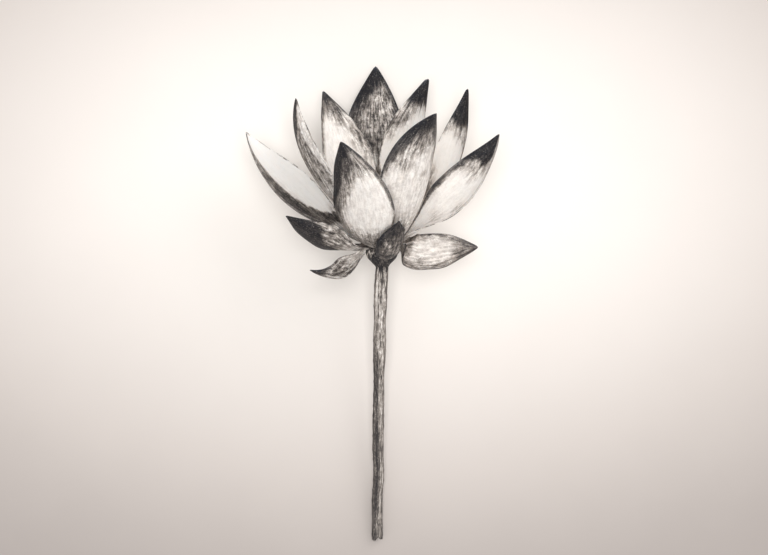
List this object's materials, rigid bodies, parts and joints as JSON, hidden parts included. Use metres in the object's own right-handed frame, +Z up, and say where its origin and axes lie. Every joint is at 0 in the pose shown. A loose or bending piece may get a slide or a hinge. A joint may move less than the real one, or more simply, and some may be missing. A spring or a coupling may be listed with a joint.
{
  "type": "lotus flower",
  "caption": "Cut lotus flower lying on its back: a long stem, a swollen bulb, cupped pointed petals, a pitted seed head and a ring of stamens.",
  "frame": {"origin": "on the resting surface, under the middle of the flower's overall box", "axes": "+Y along the stem towards the open flower, +X to the right seen from above with the bloom at the far end, +Z up from the resting surface"},
  "size_m": [0.156, 0.2991, 0.1078],
  "materials": {
    "petal": "satin",
    "sepal": "matte",
    "stem": "matte",
    "seed_head": "matte",
    "carpel": "satin",
    "stamen": "matte"
  },
  "bodies": {
    "root": {"stem": "stem", "seed_head": "seed_head", "stamens": "stamen", "carpel_01": "carpel", "carpel_02": "carpel", "carpel_03": "carpel", "carpel_04": "carpel", "carpel_05": "carpel", "carpel_06": "carpel", "carpel_07": "carpel", "carpel_08": "carpel", "carpel_09": "carpel", "carpel_10": "carpel", "carpel_11": "carpel", "carpel_12": "carpel", "carpel_13": "carpel", "carpel_14": "carpel", "carpel_15": "carpel", "petal_back_centre": "petal", "petal_back_left": "petal", "petal_back_right": "petal", "petal_front_left": "petal", "petal_front_right": "petal", "petal_inner_left": "petal", "petal_inner_right": "petal", "petal_left": "petal", "petal_left_back": "petal", "petal_low_left": "petal", "petal_low_right": "petal", "petal_right": "petal", "petal_right_back": "petal", "petal_under_centre": "petal", "petal_under_left": "petal", "petal_under_right": "petal", "sepal_front": "sepal", "sepal_left": "sepal", "sepal_back_left": "sepal", "sepal_back_right": "sepal"}
  },
  "joints": []
}
